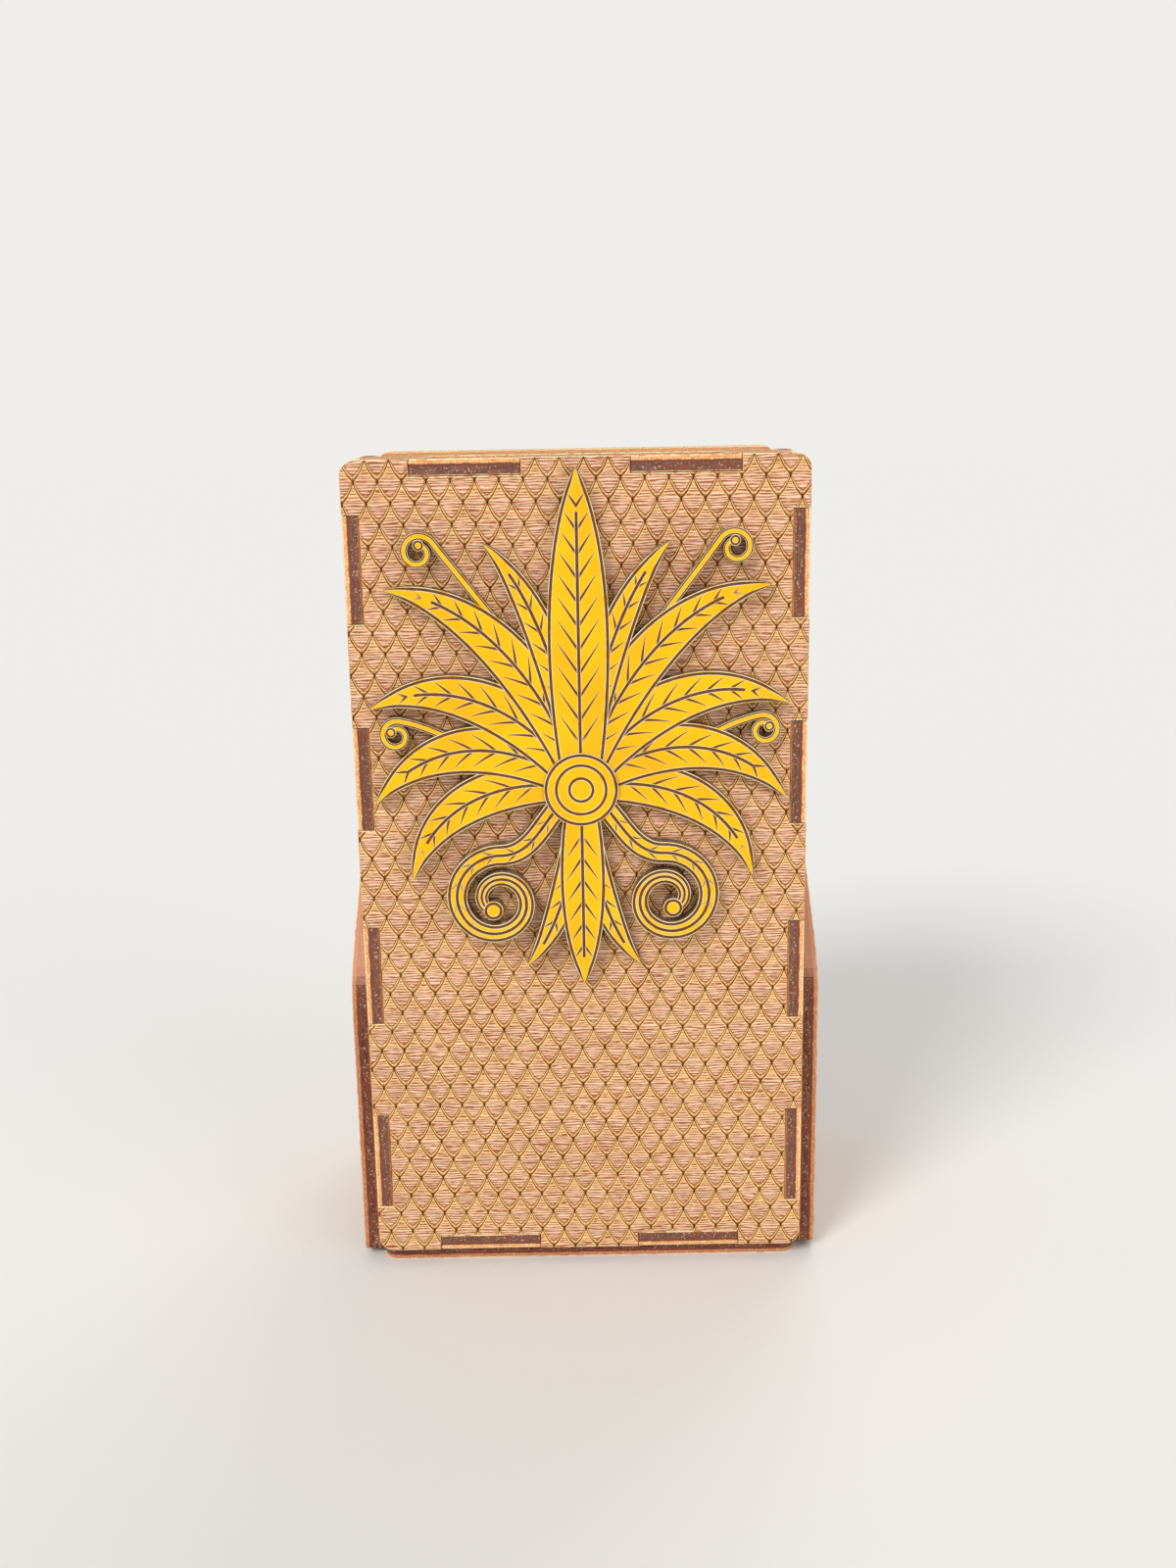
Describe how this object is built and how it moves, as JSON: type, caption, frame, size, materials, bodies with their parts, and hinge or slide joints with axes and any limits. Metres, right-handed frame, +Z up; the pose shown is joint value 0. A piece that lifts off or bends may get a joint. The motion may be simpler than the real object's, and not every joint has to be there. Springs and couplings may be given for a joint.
{
  "type": "folding dice tower",
  "caption": "Plywood dice tower with a dice mouth on top, inner baffles, an exit at the front and a hinged tray that folds up against it.",
  "frame": {"origin": "on the table under the middle of the folded tower's bounding box", "axes": "+Z up, -Y out of the back panel that carries the ornament, +Y out of the front with the exit and the tray, +X to the right as seen from the ornament side"},
  "size_m": [0.0974, 0.0668, 0.1701],
  "materials": {
    "engraved_ply": "laser-engraved birch plywood, oiled satin, burnt edges",
    "plain_ply": "bare birch plywood, burnt edges",
    "gold_ply": "gold-yellow satin paint, engraved lines burnt brown",
    "dowel": "turned beech dowel",
    "nickel": "nickel-plated magnet"
  },
  "bodies": {
    "tower": {"back_panel": "engraved_ply", "front_panel": "engraved_ply", "left_side": "engraved_ply", "right_side": "engraved_ply", "roof_plate": "engraved_ply", "bottom_plate": "plain_ply", "foot_plate": "plain_ply", "upper_baffle": "plain_ply", "middle_baffle": "plain_ply", "lower_baffle": "plain_ply", "exit_ramp": "plain_ply", "emblem": "gold_ply", "left_hinge_pin": "dowel", "right_hinge_pin": "dowel", "left_tower_magnet": "nickel", "right_tower_magnet": "nickel"},
    "tray": {"tray_floor": "engraved_ply", "tray_left_wall": "engraved_ply", "tray_right_wall": "engraved_ply", "tray_lip": "plain_ply", "left_tray_magnet": "nickel", "right_tray_magnet": "nickel"}
  },
  "joints": [
    {"name": "tray_hinge", "type": "hinge", "parent": "tower", "child": "tray", "pos_m": [0, 0.02285, 0.0108], "axis": [-1, 0, 0], "range_deg": [0, 90]}
  ]
}
